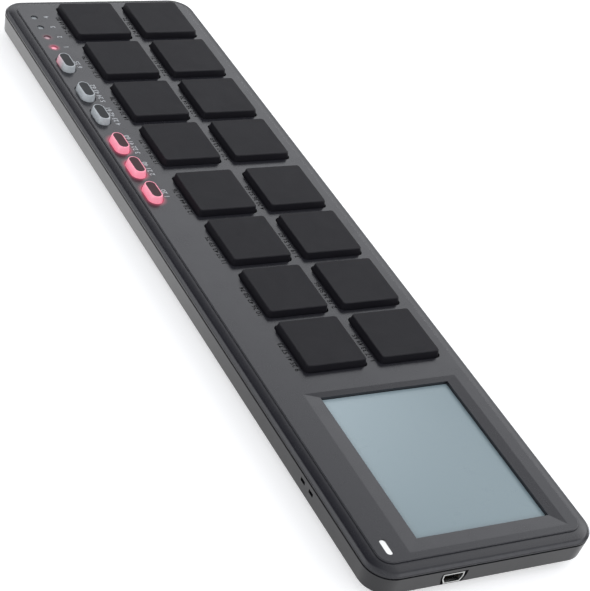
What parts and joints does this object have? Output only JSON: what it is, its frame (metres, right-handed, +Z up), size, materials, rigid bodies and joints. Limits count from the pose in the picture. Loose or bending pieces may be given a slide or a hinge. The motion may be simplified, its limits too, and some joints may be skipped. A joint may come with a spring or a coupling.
{
  "type": "pad controller",
  "caption": "Slim flat controller with two rows of rubber pads, a row of small buttons, indicator lights and a touch panel.",
  "frame": {"origin": "on the table under the middle of the case", "axes": "+X along the length to the player's right (touch panel end is -X), +Y away from the player (buttons are behind the pads), +Z up"},
  "size_m": [0.325, 0.083, 0.016],
  "materials": {
    "upper_plastic": "fine matt moulded plastic, dark grey",
    "lower_plastic": "satin moulded plastic, dark grey",
    "pad_rubber": "matt charcoal silicone rubber",
    "button_clear": "clear cap with a dark centre",
    "light_clear": "clear light guide",
    "power_clear": "white lit window",
    "touch_film": "satin grey-blue touch film",
    "board_green": "green solder mask",
    "sensor_film": "amber polyimide film",
    "switch_metal": "stamped cover",
    "led_body": "white lamp package",
    "chip_black": "black package",
    "connector_ivory": "ivory plastic",
    "port_steel": "tinned steel shell",
    "tongue_black": "black plastic",
    "screw_steel": "dark zinc",
    "foot_rubber": "matt black rubber"
  },
  "bodies": {
    "controller": {"upper_case": "upper_plastic", "lower_case": "lower_plastic", "light_guide": "light_clear", "power_lens": "power_clear", "touch_panel": "touch_film", "pad_board": "board_green", "control_board": "board_green", "touch_board": "board_green", "sensor_sheet": "sensor_film", "board_cable": "sensor_film", "tact_switches": "switch_metal", "led_chips": "led_body", "power_led": "led_body", "main_chip": "chip_black", "scan_chips": "chip_black", "touch_connector": "connector_ivory", "usb_socket": "port_steel", "usb_tongue": "tongue_black", "case_screws": "screw_steel", "foot_1": "foot_rubber", "foot_2": "foot_rubber", "foot_3": "foot_rubber", "foot_4": "foot_rubber"},
    "pad_01_body": {"pad_01": "pad_rubber"},
    "pad_02_body": {"pad_02": "pad_rubber"},
    "pad_03_body": {"pad_03": "pad_rubber"},
    "pad_04_body": {"pad_04": "pad_rubber"},
    "pad_05_body": {"pad_05": "pad_rubber"},
    "pad_06_body": {"pad_06": "pad_rubber"},
    "pad_07_body": {"pad_07": "pad_rubber"},
    "pad_08_body": {"pad_08": "pad_rubber"},
    "pad_09_body": {"pad_09": "pad_rubber"},
    "pad_10_body": {"pad_10": "pad_rubber"},
    "pad_11_body": {"pad_11": "pad_rubber"},
    "pad_12_body": {"pad_12": "pad_rubber"},
    "pad_13_body": {"pad_13": "pad_rubber"},
    "pad_14_body": {"pad_14": "pad_rubber"},
    "pad_15_body": {"pad_15": "pad_rubber"},
    "pad_16_body": {"pad_16": "pad_rubber"},
    "button_1_body": {"button_1": "button_clear"},
    "button_2_body": {"button_2": "button_clear"},
    "button_3_body": {"button_3": "button_clear"},
    "button_4_body": {"button_4": "button_clear"},
    "button_5_body": {"button_5": "button_clear"},
    "button_6_body": {"button_6": "button_clear"}
  },
  "joints": [
    {"name": "pad_01_press", "type": "slide", "parent": "controller", "child": "pad_01_body", "axis": [0, 0, 1], "range_m": [-0.001, 0], "stiffness_N_per_m": 400, "springref_m": 0.0002},
    {"name": "pad_02_press", "type": "slide", "parent": "controller", "child": "pad_02_body", "axis": [0, 0, 1], "range_m": [-0.001, 0], "stiffness_N_per_m": 400, "springref_m": 0.0002},
    {"name": "pad_03_press", "type": "slide", "parent": "controller", "child": "pad_03_body", "axis": [0, 0, 1], "range_m": [-0.001, 0], "stiffness_N_per_m": 400, "springref_m": 0.0002},
    {"name": "pad_04_press", "type": "slide", "parent": "controller", "child": "pad_04_body", "axis": [0, 0, 1], "range_m": [-0.001, 0], "stiffness_N_per_m": 400, "springref_m": 0.0002},
    {"name": "pad_05_press", "type": "slide", "parent": "controller", "child": "pad_05_body", "axis": [0, 0, 1], "range_m": [-0.001, 0], "stiffness_N_per_m": 400, "springref_m": 0.0002},
    {"name": "pad_06_press", "type": "slide", "parent": "controller", "child": "pad_06_body", "axis": [0, 0, 1], "range_m": [-0.001, 0], "stiffness_N_per_m": 400, "springref_m": 0.0002},
    {"name": "pad_07_press", "type": "slide", "parent": "controller", "child": "pad_07_body", "axis": [0, 0, 1], "range_m": [-0.001, 0], "stiffness_N_per_m": 400, "springref_m": 0.0002},
    {"name": "pad_08_press", "type": "slide", "parent": "controller", "child": "pad_08_body", "axis": [0, 0, 1], "range_m": [-0.001, 0], "stiffness_N_per_m": 400, "springref_m": 0.0002},
    {"name": "pad_09_press", "type": "slide", "parent": "controller", "child": "pad_09_body", "axis": [0, 0, 1], "range_m": [-0.001, 0], "stiffness_N_per_m": 400, "springref_m": 0.0002},
    {"name": "pad_10_press", "type": "slide", "parent": "controller", "child": "pad_10_body", "axis": [0, 0, 1], "range_m": [-0.001, 0], "stiffness_N_per_m": 400, "springref_m": 0.0002},
    {"name": "pad_11_press", "type": "slide", "parent": "controller", "child": "pad_11_body", "axis": [0, 0, 1], "range_m": [-0.001, 0], "stiffness_N_per_m": 400, "springref_m": 0.0002},
    {"name": "pad_12_press", "type": "slide", "parent": "controller", "child": "pad_12_body", "axis": [0, 0, 1], "range_m": [-0.001, 0], "stiffness_N_per_m": 400, "springref_m": 0.0002},
    {"name": "pad_13_press", "type": "slide", "parent": "controller", "child": "pad_13_body", "axis": [0, 0, 1], "range_m": [-0.001, 0], "stiffness_N_per_m": 400, "springref_m": 0.0002},
    {"name": "pad_14_press", "type": "slide", "parent": "controller", "child": "pad_14_body", "axis": [0, 0, 1], "range_m": [-0.001, 0], "stiffness_N_per_m": 400, "springref_m": 0.0002},
    {"name": "pad_15_press", "type": "slide", "parent": "controller", "child": "pad_15_body", "axis": [0, 0, 1], "range_m": [-0.001, 0], "stiffness_N_per_m": 400, "springref_m": 0.0002},
    {"name": "pad_16_press", "type": "slide", "parent": "controller", "child": "pad_16_body", "axis": [0, 0, 1], "range_m": [-0.001, 0], "stiffness_N_per_m": 400, "springref_m": 0.0002},
    {"name": "button_1_press", "type": "slide", "parent": "controller", "child": "button_1_body", "axis": [0, 0, 1], "range_m": [-0.0006, 0], "stiffness_N_per_m": 250, "springref_m": 0.0002},
    {"name": "button_2_press", "type": "slide", "parent": "controller", "child": "button_2_body", "axis": [0, 0, 1], "range_m": [-0.0006, 0], "stiffness_N_per_m": 250, "springref_m": 0.0002},
    {"name": "button_3_press", "type": "slide", "parent": "controller", "child": "button_3_body", "axis": [0, 0, 1], "range_m": [-0.0006, 0], "stiffness_N_per_m": 250, "springref_m": 0.0002},
    {"name": "button_4_press", "type": "slide", "parent": "controller", "child": "button_4_body", "axis": [0, 0, 1], "range_m": [-0.0006, 0], "stiffness_N_per_m": 250, "springref_m": 0.0002},
    {"name": "button_5_press", "type": "slide", "parent": "controller", "child": "button_5_body", "axis": [0, 0, 1], "range_m": [-0.0006, 0], "stiffness_N_per_m": 250, "springref_m": 0.0002},
    {"name": "button_6_press", "type": "slide", "parent": "controller", "child": "button_6_body", "axis": [0, 0, 1], "range_m": [-0.0006, 0], "stiffness_N_per_m": 250, "springref_m": 0.0002}
  ]
}
